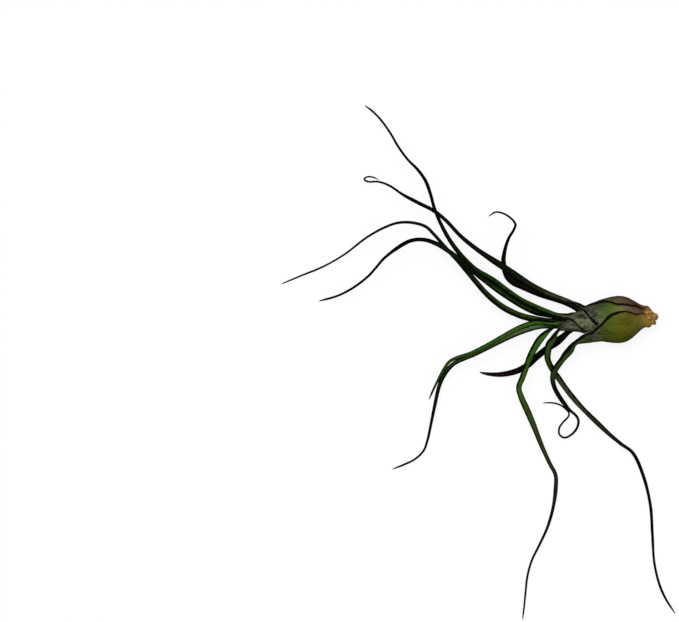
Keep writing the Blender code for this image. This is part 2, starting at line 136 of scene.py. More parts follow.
def smoothLine(knots, step):
    # points about a step apart on a smooth curve through the knots
    ends = [2 * knots[0] - knots[1], *knots, 2 * knots[-1] - knots[-2]]
    line = []
    for before, start, end, after in zip(ends, ends[1:], ends[2:], ends[3:]):
        pieces = max(2, math.ceil((end - start).length / step))
        gapBefore = (start - before).length ** 0.5
        gap = (end - start).length ** 0.5
        gapAfter = (after - end).length ** 0.5
        slopeStart = (start - before) / gapBefore - (end - before) / (gapBefore + gap) + (end - start) / gap
        slopeEnd = (end - start) / gap - (after - start) / (gap + gapAfter) + (after - end) / gapAfter
        for i in range(pieces):
            line.append(curveBetween(start, slopeStart * gap, end, slopeEnd * gap, i / pieces))
    return line + [knots[-1]]


def axisPoint(along):
    shift = Vector((0.0, smoothValue(bulb["sideShift"], along), 0.0))
    return bulb["axisBase"] + bulb["axisAlong"] * along + shift


def facingDirection(degrees):
    # square to the bulb's axis, turned from up towards +Y
    axis = bulb["axisAlong"]
    up = Vector((0, 0, 1))
    up = (up - axis * up.dot(axis)).normalized()
    side = axis.cross(up)
    if side.y < 0:
        side = -side
    turn = math.radians(degrees)
    return up * math.cos(turn) + side * math.sin(turn)


def leafRing(centre, back, side, radius, half, wall, shape, floors):
    # One closed section of a leaf: its outer face, then round the margin and back along its inner face.
    # Each point comes with how far it is across the leaf and how far from the margin.
    columns, snug = shape
    halfArc = math.radians(half) * radius
    thinning = min(blade["thinningWidth"], blade["thinningLimit"] * halfArc)
    outer, inner = [], []
    for i in range(columns + 1):
        t = 2 * i / columns - 1
        t = mix(math.sin(t * math.pi / 2), t, blade["evenColumns"])
        turn = math.radians(half) * t
        fromRim = (1 - abs(t)) * halfArc
        thin = (wall - min(wall, blade["marginWall"])) * (1 - ease(fromRim / thinning))
        press = bulb["marginPress"] * snug * (1 - ease(fromRim / bulb["pressWidth"]))
        # a snug margin is thinned on its outer face alone, and a free one on both
        outerRadius = radius - press - thin * (0.5 + 0.5 * snug)
        innerRadius = radius - wall - press + thin * (0.5 - 0.5 * snug)
        direction = back * math.cos(turn) + side * math.sin(turn)
        outerPoint = centre + direction * outerRadius
        innerPoint = centre + direction * innerRadius
        outerPoint.z = max(outerPoint.z, floors[0])
        innerPoint.z = max(innerPoint.z, floors[1])
        outer.append((outerPoint, t * halfArc, fromRim))
        inner.append((innerPoint, t * halfArc, fromRim))

    def margin(a, b, sign):
        turn = math.radians(half) * sign
        outwards = (side * math.cos(turn) - back * math.sin(turn)) * sign
        point = (a[0] + b[0]) / 2 + outwards * (a[0] - b[0]).length * 0.5
        point.z = max(point.z, sum(floors) / 2)
        return (point, a[1], 0.0)

    return outer + [margin(outer[-1], inner[-1], 1)] + inner[::-1] + [margin(outer[0], inner[0], -1)]


def sheathRings(leaf):
    # the sheath's sections, and the radius, half angle and flare where it leaves the bulb
    foot, end = leaf["spread"][0][0], leaf["spread"][-1][0]
    count = math.ceil((end - foot) / blade["sheathStep"])
    back = facingDirection(leaf["facing"])
    side = bulb["axisAlong"].cross(back)
    floor = leaf["layer"] * bulb["flatPitch"]
    floors = (floor, floor + bulb["sheathWall"])
    rings = []
    for i in range(count + 1):
        along = foot + (end - foot) * i / count
        closing = ease((along + bulb["closingLength"]) / bulb["closingLength"])
        pitch = bulb["layerPitch"] * mix(bulb["closedPitch"], 1.0, closing)
        radius = smoothValue(bulb["outline"], along) - leaf["layer"] * pitch
        half = smoothValue(leaf["spread"], along)
        flare = smoothValue(leaf.get("flare", ((0.0, 0.0),)), along)
        snug = 1 - ease((along - end + bulb["looseLength"]) / bulb["looseLength"])
        wall = bulb["sheathWall"] * mix(bulb["footWall"], 1.0, ease((along - foot) / bulb["footLength"]))
        centre = axisPoint(along) + back * flare
        points = leafRing(centre, back, side, radius, half, wall, (leaf["columns"], snug), floors)
        rings.append((along - foot, points))
    return rings, radius, half, flare


def bladeLine(leaf, middleOffset):
    # points on the blade's middle line, from where the sheath ends, and how far along it each is
    end = leaf["spread"][-1][0]
    start = axisPoint(end) + middleOffset
    leadIn = axisPoint(end - blade["leadIn"]) + middleOffset
    line = smoothLine([leadIn, start] + [Vector(point) for point in leaf["route"]], blade["bladeStep"])
    # the lead-in only gives the line its first direction, so it is left off
    line = line[next(i for i, point in enumerate(line) if (point - start).length < 1e-6):]
    runs = [0.0]
    for a, b in zip(line, line[1:]):
        runs.append(runs[-1] + (b - a).length)
    return line, runs


def waver(leaf, run, key):
    amount, pace, track = blade[key]
    return amount * noise.noise(Vector((run * pace, leaf["seed"], track)))


def bladeRings(leaf, radius, half, flare, soFar):
    # the blade's sections, square to its own middle line, from where the sheath ends to the tip
    back = facingDirection(leaf["facing"])
    line, runs = bladeLine(leaf, back * (flare + radius * (1 + math.cos(math.radians(half))) / 2))
    sheathWidth = 2 * radius * math.sin(math.radians(half))
    turn, turnLength = leaf.get("turn", (0.0, 1.0))
    rings = []
    for i in range(1, len(line)):
        here, run = line[i], runs[i]
        ahead = line[min(i + 1, len(line) - 1)]
        rolled = ease(run / blade["rollUpLength"])
        tangent = ((ahead - here).normalized() + (here - line[i - 1]).normalized()).normalized()
        tangent = bulb["axisAlong"].lerp(tangent, ease(run / blade["swingLength"])).normalized()
        back = (back - tangent * back.dot(tangent)).normalized()
        turned = ease(run / turnLength) - ease(runs[i - 1] / turnLength)
        back = Matrix.Rotation(math.radians(turn) * turned, 3, tangent) @ back
        side = tangent.cross(back)
        width = smoothValue(leaf["width"], run) * (1 + waver(leaf, run, "widthWaver") * rolled)
        point = math.sin(min(1.0, (runs[-1] - run) / blade["pointLength"]) * math.pi / 2)
        width *= mix(blade["pointWidth"], 1.0, point ** blade["pointCurve"])
        width = mix(sheathWidth, width, rolled)
        roll = mix(blade["rollAtNeck"], blade["rollAtTip"], run / runs[-1])
        roll = mix(half, roll + waver(leaf, run, "rollWaver") * rolled, rolled)
        curveRadius = width / 2 / math.sin(math.radians(min(roll, 90.0)))
        wall = mix(bulb["sheathWall"], blade["wall"], rolled)
        wall = min(wall, blade["wallLimit"] * curveRadius)
        centre = here - back * curveRadius * (1 + math.cos(math.radians(roll))) / 2
        shape = (leaf["columns"], 0.0)
        points = leafRing(centre, back, side, curveRadius, roll, wall, shape, blade["lowest"])
        # the dark margin band, painted shade on the blade's rolled sides, narrows along with the blade
        relative = mix(1.0, blade["darkHalfWidth"] / (math.radians(roll) * curveRadius), rolled)
        points = [(point, across, fromRim * relative) for point, across, fromRim in points]
        rings.append((soFar + run, points))
    return rings


def finishedPiece(mesh, name):
    # an object for the mesh, with its faces turned outwards and smooth
    bmesh.ops.recalc_face_normals(mesh, faces=mesh.faces)
    data = bpy.data.meshes.new(name)
    mesh.to_mesh(data)
    mesh.free()
    data.shade_smooth()
    piece = bpy.data.objects.new(name, data)
    bpy.context.scene.collection.objects.link(piece)
    print(f"{name}: {len(data.polygons)} faces")
    return piece


def growLeaf(name, leaf):
    # a grid with a column for each point of a section, bent into the leaf and closed along its seam and ends
    rings, *leaving = sheathRings(leaf)
    rings += bladeRings(leaf, *leaving, rings[-1][0])
    foot, length = leaf["spread"][0][0], rings[-1][0]
    around = len(rings[0][1])
    mesh = bmesh.new()
    place = mesh.verts.layers.float_vector.new("leafPlace")
    rim = mesh.verts.layers.float.new("rim")
    # each point's dark margin band width: partly the leaf's own dark margin, and on the blades painted shade
    reach = mesh.verts.layers.float.new("marginShadeReach")
    grid = bmesh.ops.create_grid(mesh, x_segments=around, y_segments=len(rings) - 1, size=0.5)
    for vert in grid["verts"]:
        column = round((vert.co.x + 0.5) * around) % around
        along, points = rings[round((vert.co.y + 0.5) * (len(rings) - 1))]
        point, across, fromRim = points[column]
        vert.co = (point - bulb["plantCentre"]) * mm
        vert[place] = (across, along, along / length)
        vert[rim] = fromRim
        vert[reach] = smoothValue(leaf["dark"], foot + along)
    bmesh.ops.remove_doubles(mesh, verts=mesh.verts, dist=1e-8)
    bmesh.ops.holes_fill(mesh, edges=[edge for edge in mesh.edges if edge.is_boundary], sides=0)
    grown = finishedPiece(mesh, name + "_grown")
    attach(grown, "root")
    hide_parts(name)
    return grown, length


def nodeAt(tree, kind, x, y, **settings):
    node = tree.nodes.new(kind)
    node.location = (x, y)
    for key, value in settings.items():
        setattr(node, key, value)
    return node


def fill(tree, socket, value):
    # a number, a colour or a link
    if isinstance(value, (int, float)):
        socket.default_value = value
    elif isinstance(value, tuple):
        socket.default_value = (*value, 1.0)
    else:
        tree.links.new(value, socket)


def fillInputs(tree, node, values):
    for key, value in values.items():
        fill(tree, node.inputs[key], value)


def mathNode(tree, operation, x, y, *values, clamp=False):
    node = nodeAt(tree, "ShaderNodeMath", x, y, operation=operation, use_clamp=clamp)
    for socket, value in zip(node.inputs, values):
        fill(tree, socket, value)
    return node.outputs[0]


def fade(tree, x, y, value, span, out=(0.0, 1.0)):
    # goes smoothly from the first value of out to the second as the given value crosses the span
    node = nodeAt(tree, "ShaderNodeMapRange", x, y, interpolation_type="SMOOTHSTEP", clamp=True)
    for socket, number in zip(node.inputs, (value, *span, *out)):
        fill(tree, socket, number)
    return node.outputs["Result"]


def blendColours(tree, x, y, factor, a, b, mode="MIX"):
    node = nodeAt(tree, "ShaderNodeMix", x, y, data_type="RGBA", blend_type=mode)
    sockets = [socket for socket in node.inputs if socket.enabled]
    for socket, value in zip(sockets, (factor, a, b)):
        fill(tree, socket, value)
    return next(socket for socket in node.outputs if socket.enabled)


def skinNoise(tree, x, y, vector, scale, detail, roughness):
    node = nodeAt(tree, "ShaderNodeTexNoise", x, y)
    fillInputs(tree, node, {"Vector": vector, "Scale": scale, "Detail": detail, "Roughness": roughness})
    return node.outputs["Fac"]


def newMaterial(name):
    material = bpy.data.materials.new(name)
    material.use_nodes = True
    return material, material.node_tree, material.node_tree.nodes["Principled BSDF"]


def bumpInto(tree, shader, height, strength, depth):
    bump = nodeAt(tree, "ShaderNodeBump", -200, -200)
    fillInputs(tree, bump, {"Strength": strength, "Distance": depth * mm, "Height": height})
    tree.links.new(bump.outputs["Normal"], shader.inputs["Normal"])


leafSkinLook = {
    # patterns that follow the leaf: their stretch across and along it, then scale, detail and roughness
    "patterns": {
        "furrows": ((0.5, 0.14), 1.7, 3.0, 0.6),
        "veins": ((1.0, 0.035), 2.4, 3.0, 0.55),
        "patches": ((0.28, 0.12), 1.0, 3.0, 0.55),
        "wobble": ((0.1, 0.35), 1.0, 3.0, 0.55),
        "streaks": ((1.0, 0.3), 3.2, 3.0, 0.65),
    },
    "grain": (2600.0, 2.0, 0.6),
    "solidDark": 0.8,  # the share of a dark margin's width before it fades out
    "scalyVeins": 0.9,  # how much stronger the veins are where scales show
    "scalyFurrows": 1.1,  # how far the furrows come in where scales show
    "furrowSpan": (0.38, 0.58),
    # the furrows have no relief of their own: the dark in them is painted shade
    "furrowShading": (0.08, 1.4),  # how light the skin is in a furrow and beside it
    "darkest": 0.12,
    # the part of each pattern's values over which the scales come in
    "driftSpan": (0.3, 0.65),
    "streakSpan": (0.42, 0.72),
    "grainSpan": (0.2, 0.6),
    "grainLeast": 0.5,
    "scaleCover": 0.8,
    "scaleColour": (0.3, 0.31, 0.22),
    "darkCover": 0.95,  # how far the dark margins keep the scales off
    "rimSpan": (0.12, 0.42),  # mm from the margin
    "rimColour": (0.45, 0.4, 0.28),
    "roughness": 0.44,
    "scaleRoughness": 0.3,
    "patchRoughness": 0.06,
    "veinHeight": 0.6,
    "scaleHeight": 0.5,
    "bump": (0.5, 0.25),  # strength, and depth in mm
    "shine": 0.015,
}


def leafPlace(tree, x, y):
    # how far across the leaf and along it, in mm, and the share of its length
    place = nodeAt(tree, "ShaderNodeAttribute", x, y, attribute_name="leafPlace").outputs["Vector"]
    split = nodeAt(tree, "ShaderNodeSeparateXYZ", x + 200, y)
    tree.links.new(place, split.inputs[0])
    return split.outputs


def leafPatterns(group, seed):
    across, along, _ = leafPlace(group, -1800, 400)
    patterns = {}
    for i, (name, (stretch, *look)) in enumerate(leafSkinLook["patterns"].items()):
        y = 750 - 250 * i
        joined = nodeAt(group, "ShaderNodeCombineXYZ", -1200, y)
        fill(group, joined.inputs[0], mathNode(group, "MULTIPLY", -1400, y + 80, across, stretch[0]))
        fill(group, joined.inputs[1], mathNode(group, "MULTIPLY", -1400, y - 80, along, stretch[1]))
        fill(group, joined.inputs[2], seed)
        patterns[name] = skinNoise(group, -1000, y, joined.outputs[0], *look)
    for name, y in (("veins", 500), ("patches", 250)):  # these are needed from -1 to 1 too
        centred = mathNode(group, "SUBTRACT", -900, y, patterns[name], 0.5)
        patterns[name + "Signed"] = mathNode(group, "MULTIPLY", -800, y, centred, 2.0)
    return patterns


def skinSockets(group):
    given = ("Skin Colour", "Margin And Shade Colour", "Pale Rim", "Scales", "Veins", "Mottling", "Seed")
    for names, way in ((given, "INPUT"), (("Colour", "Roughness", "Height"), "OUTPUT")):
        for name in names:
            kind = "NodeSocketColor" if name.endswith("Colour") else "NodeSocketFloat"
            group.interface.new_socket(name=name, in_out=way, socket_type=kind)


def makeLeafSkin():
    # veins, mottling, dark margin bands with a pale rim (partly the leaf's own dark margins, and on the
    # blades painted shade on the rolled sides), and the pale scales that air plants drink with
    look = leafSkinLook
    group = bpy.data.node_groups.new("leafSkin", "ShaderNodeTree")
    skinSockets(group)
    given = nodeAt(group, "NodeGroupInput", -1800, 0).outputs
    rim = nodeAt(group, "ShaderNodeAttribute", -1800, 650, attribute_name="rim").outputs["Fac"]
    marginShadeReach = nodeAt(group, "ShaderNodeAttribute", -1800, 900, attribute_name="marginShadeReach").outputs["Fac"]
    coords = nodeAt(group, "ShaderNodeTexCoord", -1800, -500).outputs["Object"]
    patterns = leafPatterns(group, given["Seed"])
    grain = skinNoise(group, -1000, -700, coords, *look["grain"])

    def maths(operation, x, y, *values, **settings):
        return mathNode(group, operation, x, y, *values, **settings)

    # the dark band inside the margin, with an uneven inner edge: partly the leaf's own dark margin,
    # and on the blades painted shade on the rolled sides
    reach = maths("MULTIPLY", -700, 50, marginShadeReach, maths("ADD", -800, 50, patterns["wobble"], 0.5))
    solid = maths("MULTIPLY", -600, 0, reach, look["solidDark"])
    dark = fade(group, -500, 100, rim, (solid, reach), (1.0, 0.0))
    skin = blendColours(group, -300, 200, dark, given["Skin Colour"], given["Margin And Shade Colour"])

    # veins and patches make the colour lighter and darker, and the furrows are painted shade, with the skin
    # beside them made lighter
    strength = maths("MULTIPLY_ADD", -600, 420, given["Scales"], look["scalyVeins"], given["Veins"])
    light = maths("MULTIPLY_ADD", -500, 350, patterns["veinsSigned"], strength, 1.0)
    light = maths("MULTIPLY_ADD", -350, 350, patterns["patchesSigned"], given["Mottling"], light)
    furrows = fade(group, -800, 750, patterns["furrows"], look["furrowSpan"], look["furrowShading"])
    furrows = maths("SUBTRACT", -600, 700, furrows, 1.0)
    scaly = maths("MULTIPLY", -600, 600, given["Scales"], look["scalyFurrows"], clamp=True)
    furrowed = maths("MULTIPLY_ADD", -450, 600, scaly, furrows, 1.0)
    light = maths("MULTIPLY", -320, 450, light, furrowed)
    light = maths("MAXIMUM", -280, 350, light, look["darkest"])
    shade = nodeAt(group, "ShaderNodeCombineXYZ", -200, 400)
    for socket in shade.inputs:
        fill(group, socket, light)
    skin = blendColours(group, -50, 250, 1.0, skin, shade.outputs[0], "MULTIPLY")

    # pale scales in drifts
    drift = fade(group, -700, -300, patterns["patches"], look["driftSpan"])
    scales = fade(group, -700, -500, patterns["streaks"], look["streakSpan"])
    grainy = fade(group, -700, -700, grain, look["grainSpan"], (look["grainLeast"], 1.0))
    scales = maths("MULTIPLY", -550, -500, scales, grainy)
    scales = maths("MULTIPLY", -600, -400, drift, scales)
    scales = maths("MULTIPLY", -500, -400, scales, given["Scales"])
    bare = maths("MULTIPLY_ADD", -450, -250, dark, -look["darkCover"], 1.0)
    scales = maths("MULTIPLY", -350, -350, scales, bare)
    cover = maths("MULTIPLY", 0, 50, scales, look["scaleCover"])
    skin = blendColours(group, 100, 150, cover, skin, look["scaleColour"])

    # the thin pale rim
    paleRim = fade(group, -500, -100, rim, look["rimSpan"], (1.0, 0.0))
    paleRim = maths("MULTIPLY", -300, -100, paleRim, given["Pale Rim"])
    skin = blendColours(group, 250, 100, paleRim, skin, look["rimColour"])

    rough = maths("MULTIPLY_ADD", 100, -200, scales, look["scaleRoughness"], look["roughness"])
    rough = maths("MULTIPLY_ADD", 250, -200, patterns["patchesSigned"], look["patchRoughness"], rough)
    height = maths("MULTIPLY", 100, -400, patterns["veinsSigned"], look["veinHeight"])
    height = maths("MULTIPLY_ADD", 250, -400, scales, look["scaleHeight"], height)
    result = nodeAt(group, "NodeGroupOutput", 500, 0)
    fillInputs(group, result, {"Colour": skin, "Roughness": rough, "Height": height})
    return group


leafSkin = makeLeafSkin()
print("leaf skin ready")


def colourRamp(tree, x, y, value, stops):
    node = nodeAt(tree, "ShaderNodeValToRGB", x, y)
    tree.links.new(value, node.inputs[0])
    ramp = node.color_ramp
    ramp.interpolation = "EASE"
    ramp.elements[0].position, ramp.elements[1].position = stops[0][0], stops[-1][0]
    for at, *rest in stops[1:-1]:
        ramp.elements.new(at)
    for element, (at, colour, amount) in zip(ramp.elements, stops):
        element.color = (*colour, amount)
    return node.outputs["Color"], node.outputs["Alpha"]


def leafMaterial(name, leaf, length):
    foot = leaf["spread"][0][0]

    ends = {"foot": 0.0, "tip": 1.0}

    def placed(stops):
        return [(ends[at] if at in ends else (at - foot) / length, *rest) for at, *rest in stops]

    material, tree, shader = newMaterial(name + "_skin")
    share = leafPlace(tree, -1200, 200)["Z"]
    skin = nodeAt(tree, "ShaderNodeGroup", -400, 200, node_tree=leafSkin)
    for y, stops, sockets in (
        (400, "colours", ("Skin Colour", "Scales")),
        (100, "margins", ("Margin And Shade Colour", "Pale Rim")),
    ):
        for output, socket in zip(colourRamp(tree, -800, y, share, placed(leaf[stops])), sockets):
            tree.links.new(output, skin.inputs[socket])
    fillInputs(tree, skin, {"Veins": leaf["veins"], "Mottling": leaf["mottling"], "Seed": leaf["seed"]})
    fillInputs(tree, shader, {
        "Base Color": skin.outputs["Colour"],
        "Roughness": skin.outputs["Roughness"],
        "Specular IOR Level": leafSkinLook["shine"],
    })
    bumpInto(tree, shader, skin.outputs["Height"], *leafSkinLook["bump"])
    return material


def makeLeaf(name, leaf):
    grown, length = growLeaf(name, leaf)
    grown.data.materials.append(leafMaterial(name, leaf, length))


# Each leaf, from the outermost sheath to the heart.
# layer is how many sheaths lie outside it, and facing where its back points, in degrees from up towards +Y.
# columns is how many strips make up its outer face, and seed sets its own unevenness.
# spread is half of the angle that the sheath wraps, and flare how far it stands off the bulb, at places along
# the bulb. width is the blade's, at distances from where it leaves the sheath. turn is how far the blade
# twists, in degrees, and over what length, and route is its middle line.
# dark is how wide its dark margin bands are, at distances from the bulb's base; on the blades they are
# painted shade on the rolled sides. A stop of its colours is such a distance, or "foot" or "tip", then a
# colour and how much the pale scales show there. In its margins the last number is how much the pale rim
# shows.

# colours and stops that several leaves share
black = (0.001, 0.001, 0.001)
deepGreenBlack = (0.001, 0.002, 0.001)
greenBlack = (0.002, 0.003, 0.001)
warmBlack = (0.003, 0.003, 0.002)
greyBlack = (0.008, 0.007, 0.005)
sheathGrey = (0.05, 0.06, 0.03)
dryFoot = ("foot", (0.2, 0.12, 0.03), 0.0)
dryFootMargin = ("foot", (0.1, 0.05, 0.02), 0.0)
blackTip = ("tip", black, 0.0)

brownBackLeaf = {
    "layer": 0, "facing": 140.0, "columns": 32, "seed": 1.0,
    "width": ((0.0, 3.4), (30.0, 3.4), (42.0, 3.8), (55.0, 2.5), (67.0, 1.6), (79.0, 1.2), (92.0, 0.9)),
    "spread": (
        (-2.9, 58), (-1.5, 78), (0.0, 88), (4.0, 90), (7.0, 99), (13.0, 99), (18.0, 82), (21.0, 60),
        (24.0, 44), (27.0, 30), (29.0, 22),
    ),
    "route": (
        (-35.0, 6.2, 6.4), (-41.0, 8.0, 8.0), (-46.5, 9.7, 10.5), (-52.0, 11.5, 13.0), (-57.5, 13.7, 15.0),
        (-62.0, 15.7, 16.4), (-66.2, 17.9, 17.4), (-69.2, 21.2, 18.4), (-70.8, 27.0, 20.0),
        (-70.2, 33.2, 22.5), (-68.3, 39.3, 25.5), (-65.8, 43.5, 28.0), (-65.0, 46.2, 29.5),
        (-67.0, 49.0, 31.0), (-71.0, 51.6, 32.0), (-75.0, 52.3, 32.0), (-78.4, 50.2, 30.5),
    ),
    "colours": (
        ("foot", (0.3, 0.16, 0.028), 0.0), (0.5, (0.17, 0.08, 0.02), 0.0),
        (4.0, (0.075, 0.032, 0.018), 0.1), (8.0, (0.08, 0.048, 0.022), 0.2),
        (14.0, (0.085, 0.066, 0.028), 0.3), (20.0, (0.07, 0.075, 0.035), 0.4), (26.0, sheathGrey, 0.4),
        (34.0, (0.03, 0.036, 0.018), 0.2), (44.0, (0.01, 0.016, 0.005), 0.0), (80.0, greenBlack, 0.0),
        blackTip,
    ),
    "margins": (
        ("foot", (0.12, 0.04, 0.01), 0.0), (4.0, (0.016, 0.003, 0.003), 0.0),
        (15.0, (0.005, 0.002, 0.002), 0.0), (24.0, (0.003, 0.002, 0.002), 0.05), blackTip,
    ),
    "dark": ((24.0, 1.05), (38.0, 2.2)),
    "veins": 0.35, "mottling": 0.4,
}
makeLeaf("leaf_01", brownBackLeaf)

oliveBellyLeaf = {
    "layer": 1, "facing": -85.0, "columns": 36, "seed": 2.0,
    "width": (
        (0.0, 3.9), (7.0, 3.8), (13.0, 3.6), (25.0, 2.9), (37.0, 2.4), (43.0, 1.6), (49.0, 1.4),
        (61.0, 1.2), (73.0, 1.05), (92.0, 0.85),
    ),
    "spread": (
        (-3.6, 58), (-2.6, 74), (-1.4, 92), (0.0, 106), (1.5, 113), (3.2, 105), (5.0, 104), (7.8, 108),
        (11.6, 111), (17.0, 107), (20.2, 97), (22.2, 86), (24.8, 77), (27.4, 66), (30.0, 65), (32.0, 62),
        (33.4, 57), (34.5, 50),
    ),
    "flare": ((22.0, 0.0), (25.0, 0.9), (29.0, 2.4), (32.0, 3.5), (34.5, 4.3)),
    "turn": (60.0, 28.0),
    "route": (
        (-37.3, -17.1, 12.8), (-39.4, -19.3, 12.8), (-41.8, -22.3, 12.4), (-44.0, -25.4, 11.6),
        (-45.5, -28.2, 10.8), (-46.0, -31.6, 9.9), (-44.9, -35.8, 8.8), (-42.9, -39.5, 7.9),
        (-40.7, -42.7, 7.2), (-37.8, -46.3, 6.3), (-34.3, -49.4, 5.4), (-33.1, -51.8, 4.8),
        (-33.7, -55.4, 4.0), (-36.5, -58.9, 3.1), (-40.2, -60.5, 2.3), (-42.6, -58.8, 1.8),
        (-42.6, -55.6, 1.4), (-40.6, -52.6, 1.1), (-38.3, -50.3, 0.9), (-37.7, -48.3, 0.8),
        (-39.6, -45.9, 0.7), (-42.6, -43.9, 0.6), (-46.8, -43.0, 0.5), (-51.0, -43.2, 0.4),
    ),
    "colours": (
        ("foot", (0.26, 0.15, 0.022), 0.0), (0.5, (0.19, 0.125, 0.018), 0.1),
        (5.0, (0.11, 0.093, 0.012), 0.2), (10.0, (0.078, 0.073, 0.005), 0.15),
        (15.0, (0.066, 0.073, 0.003), 0.1), (21.0, (0.048, 0.061, 0.006), 0.2),
        (24.0, (0.044, 0.052, 0.016), 0.6), (27.5, (0.04, 0.05, 0.018), 0.6),
        (31.0, (0.026, 0.056, 0.008), 0.3), (46.0, (0.02, 0.046, 0.006), 0.05),
        (54.0, (0.02, 0.034, 0.008), 0.0), (62.0, (0.002, 0.004, 0.001), 0.0), blackTip,
    ),
    "margins": (
        ("foot", (0.16, 0.07, 0.012), 0.0), (2.0, (0.04, 0.015, 0.006), 0.0),
        (10.0, (0.008, 0.004, 0.003), 0.0), (20.0, (0.004, 0.003, 0.002), 0.1),
        (22.5, (0.004, 0.003, 0.002), 0.45), (26.0, warmBlack, 0.1), (29.0, warmBlack, 0.1),
        (31.0, warmBlack, 0.45), (35.0, greenBlack, 0.0), blackTip,
    ),
    "dark": ((11.0, 1.1), (20.0, 2.5), (31.0, 2.3), (43.0, 1.7)),
    "veins": 0.3, "mottling": 0.35,
}
makeLeaf("leaf_02", oliveBellyLeaf)

greenShoulderLeaf = {
    "layer": 2, "facing": 80.0, "columns": 32, "seed": 3.0,
    "width": (
        (0.0, 3.7), (30.0, 3.7), (40.0, 3.8), (55.0, 3.2), (67.0, 2.5), (79.0, 2.15), (103.0, 2.1),
        (109.0, 1.8), (115.0, 1.4), (127.0, 1.15), (143.0, 0.9),
    ),
    "spread": (
        (-1.6, 80), (0.7, 95), (20.0, 104), (23.4, 103), (25.4, 98), (26.8, 89), (28.0, 77), (29.0, 65),
        (29.9, 52), (30.5, 42), (31.2, 31),
    ),
    "turn": (-60.0, 20.0),
    "route": (
        (-35.4, 6.7, 14.9), (-40.7, 8.5, 16.5), (-46.4, 10.7, 18.5), (-52.4, 13.4, 20.5),
        (-59.5, 17.4, 23.0), (-71.0, 25.1, 26.5), (-84.0, 33.7, 28.5), (-92.3, 40.4, 28.5),
        (-99.8, 48.3, 27.3), (-106.0, 53.2, 25.0), (-113.0, 56.8, 22.0), (-120.8, 61.0, 18.0),
        (-128.0, 65.8, 13.5), (-133.5, 67.7, 11.5), (-138.3, 67.7, 11.0), (-140.4, 68.8, 11.5),
        (-139.0, 70.1, 12.6), (-136.0, 69.9, 13.6), (-133.2, 68.6, 14.4),
    ),
    "colours": (
        ("foot", (0.3, 0.17, 0.03), 0.0), (2.0, (0.13, 0.05, 0.03), 0.0), (5.0, (0.12, 0.07, 0.042), 0.1),
        (9.0, (0.11, 0.085, 0.042), 0.2), (13.0, (0.13, 0.125, 0.036), 0.2),
        (17.0, (0.085, 0.12, 0.02), 0.1), (20.0, (0.06, 0.09, 0.02), 0.2),
        (26.0, (0.058, 0.066, 0.038), 0.7), (31.0, (0.05, 0.055, 0.034), 0.6),
        (36.0, (0.05, 0.055, 0.034), 0.5), (44.0, (0.03, 0.036, 0.018), 0.3),
        (56.0, (0.01, 0.016, 0.005), 0.0), (80.0, (0.003, 0.006, 0.0015), 0.0),
        (120.0, deepGreenBlack, 0.0), blackTip,
    ),
    "margins": (
        ("foot", (0.1, 0.04, 0.01), 0.0), (12.0, (0.04, 0.025, 0.01), 0.0),
        (20.0, (0.006, 0.004, 0.005), 0.1), (24.0, (0.003, 0.002, 0.004), 0.59),
        (30.5, (0.003, 0.002, 0.003), 0.59), (33.0, greenBlack, 0.1), (36.0, greenBlack, 0.0), blackTip,
    ),
    "dark": ((28.0, 3.0), (40.0, 2.3)),
    "veins": 0.35, "mottling": 0.4,
}
makeLeaf("leaf_03", greenShoulderLeaf)

dryTippedLeaf = {
    "layer": 3, "facing": -130.0, "columns": 24, "seed": 4.0,
    "width": (
        (0.0, 5.2), (8.0, 4.7), (16.0, 4.0), (30.0, 3.6), (38.0, 3.2), (44.0, 2.8), (50.0, 2.2),
        (55.0, 1.5),
    ),
    "spread": (
        (2.2, 78), (8.0, 76), (12.0, 73), (16.0, 70), (20.0, 66), (25.0, 61), (29.0, 59), (31.5, 56),
        (34.5, 38), (36.0, 28),
    ),
    "route": (
        (-40.7, -10.4, 7.9), (-44.5, -13.2, 6.8), (-49.2, -16.4, 5.6), (-54.2, -20.5, 4.3),
        (-58.3, -24.2, 3.5), (-62.5, -26.6, 3.0), (-68.0, -28.3, 2.5), (-73.8, -28.9, 2.2),
        (-79.2, -28.4, 2.4), (-82.5, -27.7, 2.8),
    ),
    "colours": (
        dryFoot, (25.0, (0.055, 0.06, 0.03), 0.7), (34.0, (0.02, 0.03, 0.012), 0.4),
        (40.0, (0.003, 0.008, 0.002), 0.0), (60.0, (0.005, 0.012, 0.003), 0.0),
        (70.0, (0.035, 0.024, 0.014), 0.0), (80.0, (0.07, 0.05, 0.03), 0.0),
        ("tip", (0.16, 0.05, 0.045), 0.1),
    ),
    "margins": (
        dryFootMargin, (30.0, (0.004, 0.004, 0.003), 0.2), (38.0, greenBlack, 0.0),
        (68.0, (0.002, 0.002, 0.001), 0.0), ("tip", (0.008, 0.003, 0.003), 0.0),
    ),
    "dark": ((33.0, 1.2), (45.0, 2.2)),
    "veins": 0.4, "mottling": 0.4,
}
makeLeaf("leaf_04", dryTippedLeaf)

